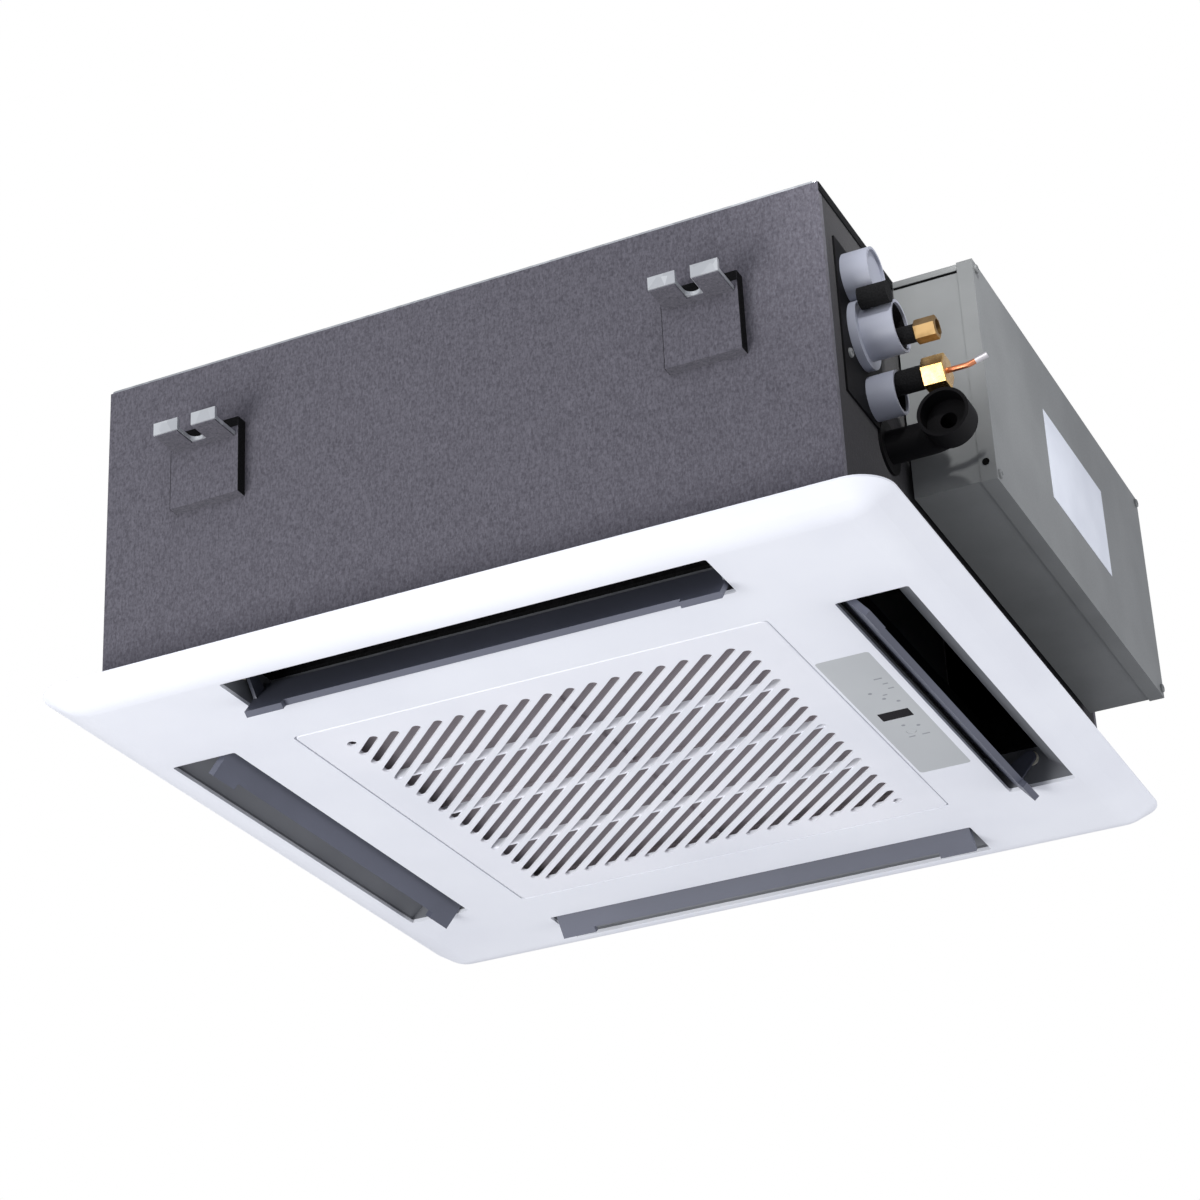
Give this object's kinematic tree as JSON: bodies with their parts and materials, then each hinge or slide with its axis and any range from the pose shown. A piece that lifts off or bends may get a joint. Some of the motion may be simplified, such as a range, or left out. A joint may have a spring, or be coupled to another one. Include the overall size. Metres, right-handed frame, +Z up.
{
  "type": "ceiling cassette air conditioner",
  "caption": "Square ceiling cassette indoor unit with a bevelled panel, tilting louvers, drop-down intake grille, felt-covered body and side electrical box.",
  "frame": {"origin": "centre of the four hanger slots, in the plane of the hanger plates' underside", "axes": "+Z up into the ceiling, +X to the side with the pipes and the electrical box, -Y to the front"},
  "size_m": [0.6975, 0.65, 0.2839],
  "materials": {
    "panel_white": "satin",
    "grille_white": "satin",
    "louver_grey": "satin",
    "liner_grey": "matt",
    "receiver_grey": "satin",
    "display_dark": "gloss",
    "natural_nylon": "matt",
    "black_plastic": "matt",
    "circuit_board": "satin",
    "black_foam": "matt",
    "white_foam": "matt",
    "graphite_foam": "matt",
    "galvanised_steel": "spangled zinc",
    "bright_steel": "bright zinc",
    "grey_felt": "felted",
    "filter_mesh": "matt",
    "fin_aluminium": "satin",
    "copper": "bright copper",
    "brass": "bright",
    "collar_grey": "satin",
    "motor_black": "satin",
    "ebox_grey": "satin",
    "black_rubber": "matt"
  },
  "bodies": {
    "cassette": {"panel_frame": "panel_white", "outlet_liners": "liner_grey", "panel_seals": "black_foam", "panel_screws": "bright_steel", "louver_bushes": "natural_nylon", "louver_motor": "galvanised_steel", "corner_drive_sleeves": "natural_nylon", "receiver_plate": "receiver_grey", "display_window": "display_dark", "receiver_housing": "black_plastic", "receiver_board": "circuit_board", "catch_housings": "panel_white", "casing_shell": "galvanised_steel", "top_plate": "galvanised_steel", "jacket_front": "grey_felt", "jacket_back": "grey_felt", "jacket_left": "grey_felt", "jacket_right": "grey_felt", "hanger_brackets": "galvanised_steel", "casing_screws": "bright_steel", "duct_liner": "graphite_foam", "drain_pan": "graphite_foam", "drain_plug": "black_rubber", "bellmouth": "black_plastic", "coil_fins": "fin_aluminium", "coil_tubes": "copper", "fan_motor": "motor_black", "motor_mounts": "black_rubber", "drain_pump": "black_plastic", "float_switch": "black_plastic", "drain_hose": "black_rubber", "drain_outlet": "black_plastic", "liquid_pipe": "copper", "gas_pipe": "copper", "liquid_nut": "brass", "gas_nut": "brass", "charging_tail": "copper", "pipe_cover_plate": "black_plastic", "pipe_collars": "collar_grey", "ebox_tray": "ebox_grey", "ebox_cover": "ebox_grey", "control_board": "circuit_board", "terminal_block": "natural_nylon", "cable_grommets": "black_rubber"},
    "louver_front": {"louver_front": "louver_grey"},
    "louver_right": {"louver_right": "louver_grey"},
    "louver_back": {"louver_back": "louver_grey"},
    "louver_left": {"louver_left": "louver_grey"},
    "fan": {"fan_wheel": "black_plastic", "fan_shaft": "bright_steel", "fan_nut": "bright_steel"},
    "pump_rotor": {"pump_impeller": "natural_nylon"},
    "float": {"float_ring": "white_foam"},
    "grille": {"intake_grille": "grille_white", "grille_hinge_pins": "bright_steel", "filter_frame": "filter_mesh", "filter_net": "filter_mesh"},
    "catch_front": {"catch_plunger_front": "natural_nylon"},
    "catch_back": {"catch_plunger_back": "natural_nylon"},
    "button": {"manual_button": "receiver_grey"}
  },
  "joints": [
    {"name": "louver_front_swing", "type": "hinge", "parent": "cassette", "child": "louver_front", "pos_m": [0, -0.258, -0.172], "axis": [1, 0, 0], "range_deg": [-50, 20]},
    {"name": "louver_right_swing", "type": "hinge", "parent": "cassette", "child": "louver_right", "pos_m": [0.258, 0, -0.172], "axis": [0, 1, 0], "range_deg": [-50, 20]},
    {"name": "louver_back_swing", "type": "hinge", "parent": "cassette", "child": "louver_back", "pos_m": [0, 0.258, -0.172], "axis": [-1, 0, 0], "range_deg": [-50, 20]},
    {"name": "louver_left_swing", "type": "hinge", "parent": "cassette", "child": "louver_left", "pos_m": [-0.258, 0, -0.172], "axis": [0, -1, 0], "range_deg": [-50, 20]},
    {"name": "fan_spin", "type": "hinge", "parent": "cassette", "child": "fan", "pos_m": [0, 0, -0.03], "axis": [0, 0, 1], "continuous": true},
    {"name": "pump_spin", "type": "hinge", "parent": "cassette", "child": "pump_rotor", "pos_m": [0.246, -0.246, -0.14], "axis": [0, 0, 1], "continuous": true},
    {"name": "float_rise", "type": "slide", "parent": "cassette", "child": "float", "axis": [0, 0, 1], "range_m": [0, 0.008]},
    {"name": "grille_swing", "type": "hinge", "parent": "cassette", "child": "grille", "pos_m": [-0.1846, 0, -0.1938], "axis": [0, 1, 0], "range_deg": [0, 88]},
    {"name": "catch_front_push", "type": "slide", "parent": "cassette", "child": "catch_front", "axis": [0, 0, 1], "range_m": [0, 0.004], "stiffness_N_per_m": 500, "springref_m": -0.002},
    {"name": "catch_back_push", "type": "slide", "parent": "cassette", "child": "catch_back", "axis": [0, 0, 1], "range_m": [0, 0.004], "stiffness_N_per_m": 500, "springref_m": -0.002},
    {"name": "button_push", "type": "slide", "parent": "cassette", "child": "button", "axis": [0, 0, 1], "range_m": [0, 0.0012], "stiffness_N_per_m": 400, "springref_m": -0.001}
  ],
  "couplings": [
    {"joint": "louver_right_swing", "follows": "louver_front_swing", "ratio": 1},
    {"joint": "louver_back_swing", "follows": "louver_front_swing", "ratio": 1},
    {"joint": "louver_left_swing", "follows": "louver_front_swing", "ratio": 1}
  ]
}
